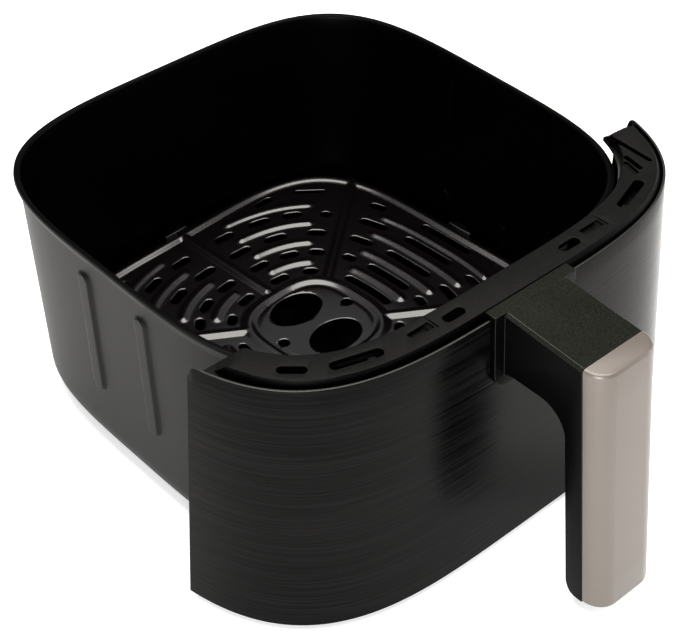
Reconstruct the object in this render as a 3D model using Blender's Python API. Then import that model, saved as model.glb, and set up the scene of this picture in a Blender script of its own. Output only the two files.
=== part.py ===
"""Basket drawer of an air fryer: pan, lift-out crisper plate, collar, front and handle.

Sizes are in millimetres around the pan's own centre; each object is then moved so that the
drawer's bounding box is centred on X and Y and stands on Z = 0.  -Y is the handle side.
"""
import bmesh
import bpy
import math
from mathutils import Vector

MM = 0.001
GAP = 0.3                       # air left between pieces that touch

# pan
PAN_W, PAN_D, PAN_H, PAN_N = 240.0, 234.4, 127.0, 3.93
LIP, LIP_DROP = 1.8, 3.0        # how far the rolled lip stands out, and its height
PAN_T, DRAFT = 1.2, 0.031
PAN_R = 17.0                    # outer radius between wall and floor

# crisper plate, in its own frame
PLATE_TURN = 3.5                # degrees it lies turned in the pan
PLATE_Y = -0.8
PLATE_Z, PLATE_T, PLATE_N = 30.0, 1.2, 4.2
PLATE_AIR = 5.5                 # from the plate's edge to the pan's inner wall
PLATE_CLEAR = LIP + DRAFT * (PAN_H - PLATE_Z) + PAN_T + PLATE_AIR
PLATE_W, PLATE_D = PAN_W - 2 * PLATE_CLEAR, PAN_D - 2 * PLATE_CLEAR
SKIRT = 6.0
BEAD = 3.0                      # how high the edge bead, hub ring and ribs stand
HUB = 30.0                      # half width of the hub's ring
RIB_W, RIB_ANGLE = 4.0, 35.5
SLOT_W, ROW_N = 4.4, 2.66
LEG_W, LEG_BOTTOM = 14.0, 8.0
BUMPER_W, BUMPER_TOP = 16.0, 31.8
BUMPER_CLEAR = (0.64, 1.74)     # air from the side and the front or back bumpers to the pan's wall

# collar: a curved strip from a ledge outside the rim to its own outer edge
COLLAR_LEDGE = (1.1, 3.9)       # from the rim to its inner edge, at the sides and in the middle
COLLAR_WIDTH = (11.2, 13.9)
COLLAR_RISE, COLLAR_T, COLLAR_N = 8.9, 2.2, 4.0
COLLAR_END, COLLAR_SLOPE = 81.0, 7.0    # where its ends stop, and how long their slope is
COLLAR_IN = (PAN_W / 2 + COLLAR_LEDGE[0], PAN_D / 2 + COLLAR_LEDGE[1])
COLLAR_OUT = (COLLAR_IN[0] + COLLAR_WIDTH[0], COLLAR_IN[1] + COLLAR_WIDTH[1])
COLLAR_TOP = PAN_H + COLLAR_RISE

# front
GROOVE = (6.6, 4.2)             # from the collar's outer edge to the front's face
FRONT_A, FRONT_B, FRONT_N = COLLAR_OUT[0] + GROOVE[0], COLLAR_OUT[1] + GROOVE[1], 3.7
FLARE_A, FLARE_B = 6.9, 9.2     # how much wider the front is at its bottom
FRONT_END = 77.2                # how far in front of the pan's middle the front ends
FRONT_TOP, FRONT_BOTTOM = PAN_H + 6.4, 2.6
SKIN_T, CARRIER_T = 1.2, 2.2
SHELF_TOP, SHELF_T = PAN_H + 3.6, 2.2
COLLAR_FOOT = SHELF_TOP + GAP

# handle
NECK_W, NECK_TOP, NECK_H, NECK_L = 37.6, PAN_H + 7.2, 29.5, 45.0
FLANGE_W, FLANGE_BOTTOM, FLANGE_PROUD = 49.0, PAN_H - 30.0, 2.4
GRIP_Y, GRIP_T, GRIP_LEAN = FRONT_B + NECK_L, 9.8, 15.9
GRIP_TOP, GRIP_BOTTOM = PAN_H + 5.9, 5.3
INLAY_T, INLAY_WALL, INLAY_R = 10.6, 1.6, 10.2

# fixings
BRACKET_W, BRACKET_LOW, BRACKET_HIGH, BRACKET_T = 66.0, PAN_H - 67.0, PAN_H - 5.0, 1.5
BRACKET_FACE, BRACKET_FOOT = FRONT_B - 5.0, 16.0
SCREW_R, HEAD_R, HEAD_H = 2.0, 3.8, 2.2
BOSS_R = 4.6

Y0 = ((GRIP_Y + GRIP_LEAN + INLAY_T) - PAN_D / 2) / 2 * MM


def polar(a, b, n, angle):
    """Point of a rounded square (superellipse) at a polar angle in degrees."""
    c, s = math.cos(math.radians(angle)), math.sin(math.radians(angle))
    r = (abs(c / a) ** n + abs(s / b) ** n) ** (-1 / n)
    return r * c, r * s


def ring(a, b, n, z, count):
    return [(*polar(a, b, n, 360 * i / count), z) for i in range(count)]


def end_angle(a, b, n, y):
    """Polar angle, below +X, at which the rounded square reaches -y."""
    return math.degrees(math.atan2(y, a * (1 - (y / b) ** n) ** (1 / n)))


def front_point(a, b, n, y_end, u):
    """Point at u = 0..1 along the front half, from the left end at -y_end to the right one."""
    e = end_angle(a, b, n, y_end)
    return polar(a, b, n, -180 + e + (180 - 2 * e) * u)


def stations(count, ends=()):
    inner = [i / count for i in range(count + 1)]
    return sorted(set(inner + list(ends) + [1 - e for e in ends]))


def add_loft(bm, rings, closed=False):
    """Skin between rings of equal length; end rings become caps unless closed."""
    rows = [[bm.verts.new(Vector(p) * MM) for p in r] for r in rings]
    pairs = list(zip(rows, rows[1:]))
    if closed:
        pairs.append((rows[-1], rows[0]))
    for low, high in pairs:
        for i in range(len(low)):
            j = (i + 1) % len(low)
            bm.faces.new((low[i], low[j], high[j], high[i]))
    if not closed:
        bm.faces.new(rows[0][::-1])
        bm.faces.new(rows[-1])


def material(name, colour, rough, metal):
    mat = bpy.data.materials.new(name)
    mat.use_nodes = True
    node = mat.node_tree.nodes["Principled BSDF"]
    node.inputs["Base Color"].default_value = (*colour, 1)
    node.inputs["Roughness"].default_value = rough
    node.inputs["Metallic"].default_value = metal
    return mat


def finish(name, bm, mat, smooth=False, place=True):
    bmesh.ops.recalc_face_normals(bm, faces=bm.faces)
    mesh = bpy.data.meshes.new(name)
    bm.to_mesh(mesh)
    bm.free()
    if mat:
        mesh.materials.append(mat)
    obj = bpy.data.objects.new(name, mesh)
    bpy.context.scene.collection.objects.link(obj)
    if place:
        obj.location = (0, Y0, 0)
    if smooth:
        mesh.shade_smooth()
    return obj


def boolean(obj, cutter, operation):
    cutter.location = obj.location
    cutter.hide_render = True
    cutter.display_type = "WIRE"
    mod = obj.modifiers.new(cutter.name, "BOOLEAN")
    mod.operation, mod.solver, mod.object = operation, "EXACT", cutter
    if cutter.parent is None and obj.rotation_euler.z:
        cutter.rotation_euler = obj.rotation_euler


def tool(name, *lofts):
    """Hidden cutter or added body made of separate closed lofts."""
    bm = bmesh.new()
    for rings in lofts:
        add_loft(bm, rings)
    return finish(name, bm, None)


def prism(points, z0, z1):
    return [[(x, y, z0) for x, y in points], [(x, y, z1) for x, y in points]]


def box(x0, x1, y0, y1, z0, z1):
    return prism([(x0, y0), (x1, y0), (x1, y1), (x0, y1)], z0, z1)


def rod(x, y0, y1, z, r, count=10):
    """Cylinder along Y."""
    turns = [2 * math.pi * (i + 0.5) / count for i in range(count)]
    return [[(x + r * math.cos(t), y, z + r * math.sin(t)) for t in turns] for y in (y0, y1)]


def obround(x, y, length, width, angle, steps=3):
    """Outline of a slot with round ends, centred on x, y."""
    r, half = width / 2, (length - width) / 2
    ca, sa = math.cos(math.radians(angle)), math.sin(math.radians(angle))
    out = []
    for side in (1, -1):
        for k in range(steps + 1):
            t = math.pi * (k / steps - 0.5)
            px, py = side * (half + r * math.cos(t)), side * r * math.sin(t)
            out.append((x + px * ca - py * sa, y + px * sa + py * ca))
    return out


def row_slot(radius, start, end):
    """Outline of a slot that follows a row around the hub, angles in degrees."""
    steps = 2 if (end - start) * radius < 900 else 4
    tip = math.degrees(SLOT_W / 2 / radius)
    angles = [start + tip + (end - start - 2 * tip) * i / steps for i in range(steps + 1)]
    out, inn = radius + SLOT_W / 2, radius - SLOT_W / 2
    points = [polar(out, out * 1.02, ROW_N, a) for a in angles]
    points.append(polar(radius, radius * 1.02, ROW_N, end))
    points += [polar(inn, inn * 1.02, ROW_N, a) for a in reversed(angles)]
    points.append(polar(radius, radius * 1.02, ROW_N, start))
    return points


# ---------------------------------------------------------------- pan
def wall(z, inside=0.0):
    """Half sizes of the pan's wall at a height, outside or that far inside it."""
    off = LIP + DRAFT * (PAN_H - z) + inside
    return PAN_W / 2 - off, PAN_D / 2 - off


def make_pan(mat):
    count = 72
    foot = wall(PAN_R)
    arc = [math.radians(a) for a in (90, 68, 45, 22)]

    def corner(inside, angle):
        r = PAN_R - inside
        off = inside + r - r * math.cos(angle)
        return foot[0] - off, foot[1] - off, PAN_R - r * math.sin(angle)

    half = (PAN_W / 2, PAN_D / 2)
    top = wall(PAN_H - LIP_DROP)
    profile = [corner(0, a) for a in arc]
    profile += [(*foot, PAN_R), (*top, PAN_H - LIP_DROP)]
    profile += [(half[0] - o, half[1] - o, z) for o, z in
                ((0.4, PAN_H - LIP_DROP), (0, PAN_H - 0.8), (0.5, PAN_H), (2.3, PAN_H), (3.1, PAN_H - 1.4))]
    profile += [(*wall(PAN_R, PAN_T), PAN_R)]
    profile += [corner(PAN_T, a) for a in reversed(arc)]
    bm = bmesh.new()
    add_loft(bm, [ring(a, b, PAN_N, z, count) for a, b, z in profile])
    return finish("pan", bm, mat, smooth=True)


# ---------------------------------------------------------------- crisper plate
def plate_rows():
    side = [(38.6, ((-23, 23),)),
            (53.2, ((-15, 15), (22.5, 31), (-31, -22.5))),
            (68.6, ((-12.5, 12.5), (20, 31), (-31, -20))),
            (84.0, ((-11, 11), (19, 30), (-30, -19))),
            (98.4, ((-10, 10), (23, 29), (-29, -23)))]
    half = [(38.6, ((65, 81), (43, 55))),
            (53.2, ((71.5, 84), (53.5, 65), (40, 49.5))),
            (68.6, ((74, 85.5), (57, 67.5), (40.5, 49))),
            (84.0, ((75.5, 84), (61, 69.5), (49.5, 57), (39.5, 44)))]
    out = []
    for radius, spans in side:
        for a, b in spans:
            out += [row_slot(radius, a, b), row_slot(radius, 180 + a, 180 + b)]
    for radius, spans in half:
        for a, b in spans:
            for low, high in ((a, b), (180 - b, 180 - a), (180 + a, 180 + b), (360 - b, 360 - a)):
                out.append(row_slot(radius, low, high))
    for sx in (1, -1):
        for sy in (1, -1):
            out.append(obround(sx * 52, sy * 93.4, 12, SLOT_W, 0))
            out.append(obround(sx * 77.2, sy * 82.7, 19, 3, -42 * sx * sy))
    return out


def make_plate(mat):
    half = (PLATE_W / 2, PLATE_D / 2)
    z, t = PLATE_Z, PLATE_T
    hub = [(HUB - 7.5, 3.0, z), (HUB - 4.5, 3.0, z + BEAD), (HUB - 1.0, 3.0, z + BEAD), (HUB + 3.0, 3.0, z)]
    edge = [(7.0, z), (4.8, z + BEAD), (2.4, z + BEAD), (0, z), (0, z - SKIRT)]
    profile = [(a, a, n, h) for a, n, h in hub]
    profile += [(half[0] - o, half[1] - o, PLATE_N, h) for o, h in edge]
    profile += [(half[0] - t, half[1] - t, PLATE_N, z - SKIRT), (half[0] - t, half[1] - t, PLATE_N, z - t / 2)]
    profile += [(half[0] - o, half[1] - o, PLATE_N, h) for o, h in
                ((2.9, z + BEAD - t), (4.4, z + BEAD - t), (6.4, z - t))]
    profile += [(HUB + 2.4, HUB + 2.4, 3.0, z - t), (HUB - 1.4, HUB - 1.4, 3.0, z + BEAD - t),
                (HUB - 4.1, HUB - 4.1, 3.0, z + BEAD - t), (HUB - 7.1, HUB - 7.1, 3.0, z - t)]
    bm = bmesh.new()
    add_loft(bm, [ring(a, b, n, h, 64) for a, b, n, h in profile])
    plate = finish("crisper_plate", bm, mat, place=False)
    plate.location = (0, Y0 + PLATE_Y * MM, 0)
    plate.rotation_euler.z = math.radians(PLATE_TURN)

    ribs = []
    for angle in (90, RIB_ANGLE, -RIB_ANGLE, -90, 180 + RIB_ANGLE, 180 - RIB_ANGLE):
        end = math.hypot(*polar(half[0] - 4, half[1] - 4, PLATE_N, angle))
        c, s = math.cos(math.radians(angle)), math.sin(math.radians(angle))
        low, high = [], []
        for along, across in ((HUB + 2, -1), (end, -1), (end, 1), (HUB + 2, 1)):
            for out, w, h in ((low, RIB_W / 2, z - t / 2), (high, RIB_W / 2 - 1, z + BEAD - 0.6)):
                out.append((along * c - across * w * s, along * s + across * w * c, h))
        ribs.append([low, high])
    legs = []
    for k in range(4):
        reach = half[k % 2]
        c, s = round(math.cos(math.pi / 2 * k)), round(math.sin(math.pi / 2 * k))
        corners = [(reach - t, -LEG_W / 2), (reach, -LEG_W / 2), (reach, LEG_W / 2), (reach - t, LEG_W / 2)]
        legs.append(prism([(r * c - w * s, r * s + w * c) for r, w in corners], LEG_BOTTOM, z - SKIRT + 1))
    for i, loft in enumerate(ribs):
        boolean(plate, tool(f"rib_{i}", loft), "UNION")
    boolean(plate, tool("legs", *legs), "UNION")

    cuts = plate_rows()
    for sy in (1, -1):
        cuts.append(obround(0, sy * 14.2, 31, 21, 0, steps=6))
    for sx in (1, -1):
        cuts.append(obround(sx * 22.4, 0, 6.2, 6.1, 0, steps=4))
    cutter = tool("plate_slots", *[prism(c, z - 3 * t, z + BEAD + 2) for c in cuts])
    boolean(plate, cutter, "DIFFERENCE")
    return plate


def make_bumper(name, k, plate, mat):
    """Silicone foot on one leg: stands on the pan's rounded corner, touches its wall above."""
    reach = (PLATE_W / 2, PLATE_D / 2)[k % 2]
    furthest = wall(15.5, PAN_T)[k % 2] - reach - BUMPER_CLEAR[k % 2]
    skirt = reach + GAP
    c, s = round(math.cos(math.pi / 2 * k)), round(math.sin(math.pi / 2 * k))
    half = BUMPER_W / 2
    rings = []
    for t in (-1, -0.88, -0.6, -0.2, 0.2, 0.6, 0.88, 1):
        out = reach + 1.2 + (furthest - 1.2) * math.sqrt(1 - 0.98 * t * t)
        section = [(reach - 4.5, 3.4), (reach - 1, 5.6), (min(out, reach + 1.8), 9.5), (out, 15.5), (out, BUMPER_TOP),
                   (skirt, BUMPER_TOP), (skirt, PLATE_Z - PLATE_T - 0.6), (reach - 4.5, PLATE_Z - PLATE_T - 0.6)]
        rings.append([(r * c - half * t * s, r * s + half * t * c, h) for r, h in section])
    bm = bmesh.new()
    add_loft(bm, rings)
    bumper = finish(name, bm, mat, place=False)
    bumper.parent = plate
    lofts = []
    for width, low, high in ((half + 1, PLATE_Z - SKIRT - GAP, PLATE_Z + BEAD), (LEG_W / 2 + GAP, LEG_BOTTOM - GAP, PLATE_Z)):
        corners = [(reach - PLATE_T - GAP, -width), (skirt, -width), (skirt, width), (reach - PLATE_T - GAP, width)]
        lofts.append(prism([(r * c - w * s, r * s + w * c) for r, w in corners], low, high))
    for i, loft in enumerate(lofts):
        cutter = tool(f"{name}_slot_{i}", loft)
        cutter.parent = plate
        boolean(bumper, cutter, "DIFFERENCE")
    return bumper


# ---------------------------------------------------------------- front
def front_half(z, inside=0.0):
    k = (FRONT_TOP - z) / (FRONT_TOP - FRONT_BOTTOM)
    return FRONT_A + FLARE_A * k - inside, FRONT_B + FLARE_B * k - inside


def front_rings(section, us):
    """Sections of (half x, half y, n, z, end y) carried along the front."""
    out = []
    for u in us:
        out.append([(*front_point(a, b, n, e, u), z) for a, b, n, z, e in section(u)])
    return out


def make_skin(mat):
    radius = 5.0

    def section(u):
        x, y = front_point(*front_half(FRONT_TOP), FRONT_N, FRONT_END, u)
        reach = min(FRONT_END + y, 0) + radius
        drop = radius - math.sqrt(max(radius ** 2 - max(reach, 0) ** 2, 0))
        top = FRONT_TOP - drop
        spots = ((0, FRONT_BOTTOM), (0, top), (SKIN_T, top), (SKIN_T, FRONT_BOTTOM))
        return [(*front_half(z, o), FRONT_N, z, FRONT_END) for o, z in spots]

    us = stations(44, ends=(0.003, 0.008, 0.015))
    bm = bmesh.new()
    add_loft(bm, front_rings(section, us))
    skin = finish("fascia_skin", bm, mat)
    notch = [(x, z) for x, z in flange_outline(GAP, FRONT_TOP + 5)]
    rings = [[(x, y, z) for x, z in notch] for y in (-FRONT_B - 20, -FRONT_B + 15)]
    boolean(skin, tool("skin_notch", rings), "DIFFERENCE")
    return skin


def make_carrier(mat):
    out = SKIN_T + GAP
    end_low, end_top = FRONT_END + 1, COLLAR_END + 0.4
    inner = out + CARRIER_T
    low = FRONT_BOTTOM + 1.0
    shelf_in, shelf_low = (COLLAR_OUT[0] - 8.1, COLLAR_OUT[1] - 8.6), SHELF_TOP - SHELF_T

    def section(u):
        spots = [(*front_half(low, out), low, end_low), (*front_half(SHELF_TOP, out), SHELF_TOP, end_top),
                 (*shelf_in, SHELF_TOP, end_top), (*shelf_in, shelf_low, end_top),
                 (*front_half(shelf_low, inner), shelf_low, end_top),
                 (*front_half(low + CARRIER_T, inner), low + CARRIER_T, end_low),
                 (*front_half(low, 14), low + CARRIER_T, end_low), (*front_half(low, 14), low, end_low)]
        return [(a, b, FRONT_N, z, end) for a, b, z, end in spots]

    bm = bmesh.new()
    add_loft(bm, front_rings(section, stations(40)))
    carrier = finish("fascia_carrier", bm, mat)
    ends = []
    back = end_top + 0.2
    for sx in (1, -1):
        inner_x = wall(PAN_H)[0] + 1.5
        outline = [(inner_x, low + 0.4)]
        for z in (low + 0.4, SHELF_TOP - 0.4):
            a, b = front_half(z, out + 0.6)
            outline.append((a * (1 - (back / b) ** FRONT_N) ** (1 / FRONT_N), z))
        outline.append((inner_x, SHELF_TOP - 0.4))
        ends.append([[(sx * x, -y, z) for x, z in outline] for y in (back, back + CARRIER_T)])
    boolean(carrier, tool("carrier_ends", *ends), "UNION")
    bosses, holes = [], []
    for x, z in bracket_screws() + handle_screws():
        face = front_half(z, out + 0.8)[1]
        bosses.append(rod(x, -face, -BRACKET_FACE - GAP, z, BOSS_R, 12))
        holes.append(rod(x, -face - 3, -BRACKET_FACE + 3, z, SCREW_R + 0.4))
    boolean(carrier, tool("carrier_bosses", *bosses), "UNION")
    for x, y in collar_screws():
        turns = [2 * math.pi * (i + 0.5) / 10 for i in range(10)]
        circle = [(x + (SCREW_R + 0.4) * math.cos(t), y + (SCREW_R + 0.4) * math.sin(t)) for t in turns]
        holes.append(prism(circle, SHELF_TOP - 6, SHELF_TOP + 3))
    boolean(carrier, tool("carrier_holes", *holes), "DIFFERENCE")
    return carrier


# ---------------------------------------------------------------- collar
def collar_spot(angle, out=0.0):
    """Point on the collar's middle line, angle in degrees to the right of the handle."""
    half = [(i + o) / 2 + out for i, o in zip(COLLAR_IN, COLLAR_OUT)]
    return polar(*half, COLLAR_N, angle - 90)


def collar_screws():
    return [collar_spot(angle, 1.6) for angle in (-9.0, 9.0)]


def collar_slots():
    """Slots of the collar's top as outlines: left and right sides are not mirror images."""
    return [obround(*collar_spot(angle, out), length, width, turn) for angle, out, length, width, turn in
            ((-44.4, 1.0, 12.6, 4.6, -42), (-34.4, -0.8, 24.0, 5.2, -17), (-15.4, 0, 11.8, 5.0, 0),
             (15.4, 0, 11.8, 5.0, 0), (34.5, -1.0, 23.5, 5.2, 18), (44.0, -3.2, 12.4, 5.4, 75),
             (48.5, 1.0, 19.0, 2.6, 88))]


CLIP_ANGLE = 22.4               # where the two clips sit, left and right of the handle


def clip_pocket(angle):
    """Pocket for one snap clip in the collar's top."""
    x, y = collar_spot(angle, -1.6)
    return [(x - 5.4, y - 2.2), (x + 5.4, y - 2.2), (x + 5.4, y + 2.2), (x - 5.4, y + 2.2)]


def make_collar(mat):
    low, top, t = COLLAR_FOOT, COLLAR_TOP, COLLAR_T
    rim = (PAN_W / 2 + 0.8, PAN_D / 2 + 0.8)
    reach = PAN_H + 1.6
    slope = COLLAR_END + COLLAR_SLOPE

    def section(u):
        (oa, ob), (ia, ib) = COLLAR_OUT, COLLAR_IN
        spots = [(*rim, reach, COLLAR_END), (rim[0] + 0.1, rim[1] + 1.3, top - 2.4, COLLAR_END + 3.0),
                 (ia, ib, top, slope), (oa - 1, ob - 1, top, slope), (oa, ob, top - 1, COLLAR_END + 5.5),
                 (oa + 0.2, ob + 0.2, low, COLLAR_END), (oa - 1.8, ob - 1.8, low, COLLAR_END),
                 (oa - 1.8, ob - 1.8, top - t, COLLAR_END + 3.2), (ia + 2, ib + 2, top - t, COLLAR_END + 3.2),
                 (rim[0] + 2.0, rim[1] + 2.4, reach, COLLAR_END)]
        return [(a, b, COLLAR_N, z, e) for a, b, z, e in spots]

    bm = bmesh.new()
    add_loft(bm, front_rings(section, stations(44)))
    collar = finish("collar", bm, mat)
    pads = []
    for x, y in collar_screws():
        pads.append(box(x - 4.5, x + 4.5, y - 3.0, y + 3.0, low, top - t + 0.6))
    boolean(collar, tool("collar_pads", *pads), "UNION")
    cuts = [prism(c, top - 6, top + 2) for c in collar_slots()]
    cuts += [prism(clip_pocket(a), top - t - 1, top + 2) for a in (-CLIP_ANGLE, CLIP_ANGLE)]
    boolean(collar, tool("collar_slots", *cuts), "DIFFERENCE")
    holes = []
    for x, y in collar_screws():
        turns = [2 * math.pi * (i + 0.5) / 10 for i in range(10)]
        circle = [(x + (SCREW_R + GAP) * math.cos(t), y + (SCREW_R + GAP) * math.sin(t)) for t in turns]
        holes.append(prism(circle, low - 3, top - t))
    boolean(collar, tool("collar_holes", *holes), "DIFFERENCE")
    return collar


def make_clip(name, angle, mat):
    """Snap clip that fills its pocket: a sunk shelf with a wedge standing at one end."""
    x, y = collar_spot(angle, -1.6)
    y0, y1 = y - 2.2 + GAP, y + 2.2 - GAP
    low, top = COLLAR_TOP - COLLAR_T, COLLAR_TOP
    outline = [(x - 5.1, low), (x + 5.1, low), (x + 5.1, top - 0.2), (x + 3.9, top - 0.2), (x + 2.2, low + 1.0),
               (x - 5.1, low + 1.0)]
    bm = bmesh.new()
    add_loft(bm, [[(px, y, pz) for px, pz in outline] for y in (y0, y1)])
    return finish(name, bm, mat)


# ---------------------------------------------------------------- handle
def flange_outline(grow, top):
    """U shape of the handle's flange in X and Z."""
    w, low, r = FLANGE_W / 2 + grow, FLANGE_BOTTOM - grow, 9.0
    points = [(w, top)]
    for k in range(5):
        a = math.pi / 2 * k / 4
        points.append((w - r + r * math.cos(a), low + r - r * math.sin(a)))
    return points + [(-x, z) for x, z in reversed(points)]


def lean(z):
    """How far the grip has leaned out at a height."""
    return GRIP_LEAN * (GRIP_TOP - z) / (GRIP_TOP - GRIP_BOTTOM)


def d_outline(half, back, front, radius):
    """Flat-backed outline with rounded front corners, in X and Y (y counted towards the front)."""
    points = [(half, back)]
    for k in range(7):
        a = math.pi / 2 * k / 6
        points.append((half - radius + radius * math.cos(a), front - radius + radius * math.sin(a)))
    return points + [(-x, y) for x, y in reversed(points)]


def grip_rings(half, back, front, radius, heights):
    return [[(x, -(y + lean(z)), z) for x, y in d_outline(half - i, back, front - i, radius)]
            for z, i in heights]


def make_handle(mat):
    w = NECK_W / 2
    under = NECK_TOP - NECK_H
    back = GRIP_Y - GRIP_T
    flat = front_half(FLANGE_BOTTOM)[1] + 1.5
    bend = [(back + lean(under - 16) - 15 + 15 * math.sin(a), under - 15 + 15 * math.cos(a))
            for a in [math.pi / 2 * k / 5 for k in range(6)]]
    side = [(flat, under - 2), (flat + 6, under)] + bend
    side += [(back + lean(GRIP_BOTTOM + 2), GRIP_BOTTOM + 2), (back + lean(GRIP_BOTTOM) + 2, GRIP_BOTTOM),
             (GRIP_Y - GAP + lean(GRIP_BOTTOM), GRIP_BOTTOM), (GRIP_Y - GAP, GRIP_TOP), (flat, NECK_TOP)]
    bm = bmesh.new()
    add_loft(bm, [[(x, -y, z) for y, z in side] for x in (-w, w)])
    handle = finish("handle_body", bm, mat)

    flange = []
    outline = flange_outline(0, COLLAR_TOP)
    for inside in (SKIN_T, -FLANGE_PROUD):
        flange.append([(x, -(front_half(z)[1] - inside), z) for x, z in outline])
    boolean(handle, tool("flange", flange), "UNION")
    core = grip_rings(w - INLAY_WALL - GAP, GRIP_Y - 2, GRIP_Y + INLAY_T - INLAY_WALL - GAP, INLAY_R - INLAY_WALL,
                      ((GRIP_BOTTOM + INLAY_WALL, 0), (GRIP_TOP - INLAY_WALL - GAP, 0)))
    boolean(handle, tool("grip_core", core), "UNION")
    holes = [rod(x, -front_half(z)[1] - 16, -FRONT_B + 8, z, SCREW_R + GAP) for x, z in handle_screws()]
    boolean(handle, tool("handle_holes", *holes), "DIFFERENCE")
    relief = box(-FLANGE_W, FLANGE_W, -COLLAR_OUT[1] - 0.2 - GAP, -PAN_D / 2, FLANGE_BOTTOM - 7, COLLAR_TOP + 5)
    boolean(handle, tool("flange_relief", relief), "DIFFERENCE")
    return handle


def make_inlay(mat):
    w = NECK_W / 2 - 0.1
    front = GRIP_Y + INLAY_T
    heights = ((GRIP_BOTTOM, 0.8), (GRIP_BOTTOM + 0.8, 0), (GRIP_TOP - 1.2, 0), (GRIP_TOP - 0.4, 0.4), (GRIP_TOP, 1.4))
    bm = bmesh.new()
    add_loft(bm, grip_rings(w, GRIP_Y, front, INLAY_R, heights))
    inlay = finish("handle_inlay", bm, mat)
    hollow = grip_rings(w - INLAY_WALL, GRIP_Y - 8, front - INLAY_WALL, INLAY_R - INLAY_WALL,
                        ((GRIP_BOTTOM + INLAY_WALL - GAP, 0), (GRIP_TOP - INLAY_WALL, 0)))
    boolean(inlay, tool("inlay_hollow", hollow), "DIFFERENCE")
    return inlay


# ---------------------------------------------------------------- bracket and screws
def bracket_screws():
    return [(x, PAN_H - drop) for drop in (57.0, 41.0) for x in (-24.0, 24.0)]


def handle_screws():
    return [(-13.0, PAN_H - 14.0), (13.0, PAN_H - 14.0)]


def make_bracket(mat):
    """Pressed steel hat section, spot welded to the pan's front wall."""
    w, t = BRACKET_W / 2, BRACKET_T
    rings = []
    for z in (BRACKET_LOW, BRACKET_HIGH):
        a, b = wall(z)

        def skin_y(x):
            return b * (1 - (x / a) ** PAN_N) ** (1 / PAN_N) + GAP
        outer = [(w + BRACKET_FOOT, skin_y(w + BRACKET_FOOT)), (w + BRACKET_FOOT, skin_y(w + BRACKET_FOOT) + t),
                 (w + 4, skin_y(w) + t), (w, BRACKET_FACE - 3), (w - 3, BRACKET_FACE)]
        inner = [(w - 3.6, BRACKET_FACE - t), (w - t, BRACKET_FACE - 3.6), (w + 4 - t, skin_y(w))]
        loop = outer + [(-x, y) for x, y in reversed(outer)] + [(-x, y) for x, y in reversed(inner)] + inner
        rings.append([(x, -y, z) for x, y in loop])
    bm = bmesh.new()
    add_loft(bm, rings)
    bracket = finish("pan_bracket", bm, mat)
    holes = [rod(x, -BRACKET_FACE - 3, -BRACKET_FACE + 5, z, SCREW_R + 0.4) for x, z in bracket_screws() + handle_screws()]
    boolean(bracket, tool("bracket_holes", *holes), "DIFFERENCE")
    return bracket


def screw_rings(length):
    """Profile of a pan-head screw along its axis: (radius, distance from the head's seat)."""
    return [(HEAD_R * 0.6, -HEAD_H), (HEAD_R, -HEAD_H * 0.55), (HEAD_R, 0), (SCREW_R, 0), (SCREW_R, length - 1.2),
            (SCREW_R * 0.5, length)]


def make_screw(name, start, axis, length, mat):
    turns = [2 * math.pi * (i + 0.5) / 10 for i in range(10)]
    rings = []
    for r, d in screw_rings(length):
        if axis == "y":
            rings.append([(start[0] + r * math.cos(t), start[1] - d, start[2] + r * math.sin(t)) for t in turns])
        else:
            rings.append([(start[0] + r * math.cos(t), start[1] + r * math.sin(t), start[2] + d) for t in turns])
    bm = bmesh.new()
    add_loft(bm, rings)
    return finish(name, bm, mat)


def main():
    for obj in list(bpy.data.objects):
        bpy.data.objects.remove(obj, do_unlink=True)
    pan_grey = material("pan_coating", (0.035, 0.034, 0.033), 0.42, 0.3)
    plate_black = material("plate_coating", (0.020, 0.017, 0.019), 0.25, 0.3)
    silicone = material("silicone", (0.02, 0.02, 0.02), 0.7, 0)
    plastic = material("black_plastic", (0.030, 0.031, 0.030), 0.55, 0)
    brushed = material("brushed_black", (0.07, 0.068, 0.066), 0.38, 0.7)
    champagne = material("champagne", (0.62, 0.56, 0.50), 0.38, 0.6)
    zinc = material("zinc", (0.55, 0.55, 0.56), 0.4, 1)

    make_pan(pan_grey)
    plate = make_plate(plate_black)
    for k, side in enumerate(("right", "back", "left", "front")):
        make_bumper(f"bumper_{side}", k, plate, silicone)
    make_skin(brushed)
    make_carrier(plastic)
    make_collar(plastic)
    make_clip("collar_clip_left", -CLIP_ANGLE, plastic)
    make_clip("collar_clip_right", CLIP_ANGLE, plastic)
    make_handle(plastic)
    make_inlay(champagne)
    make_bracket(zinc)
    seat = -BRACKET_FACE + BRACKET_T + GAP
    for i, (x, z) in enumerate(bracket_screws()):
        make_screw(f"carrier_screw_{i + 1}", (x, seat, z), "y", 7.0, zinc)
    for side, (x, z) in zip(("left", "right"), handle_screws()):
        make_screw(f"handle_screw_{side}", (x, seat, z), "y", 18.0, zinc)
    under = SHELF_TOP - SHELF_T - GAP
    for side, (x, y) in zip(("left", "right"), collar_screws()):
        make_screw(f"collar_screw_{side}", (x, y, under), "z", COLLAR_TOP - COLLAR_T - 0.6 - under, zinc)


main()
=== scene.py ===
# %% [markdown]
# # A basket drawer, looked after piece by piece
#
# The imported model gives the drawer's frame: every place and size below is read from it.
# Each cell then builds one piece the way its maker would, or gives a piece its finish.

# %% Load the frame
import bmesh
import bpy
import math
from mathutils import Matrix, Vector


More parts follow.
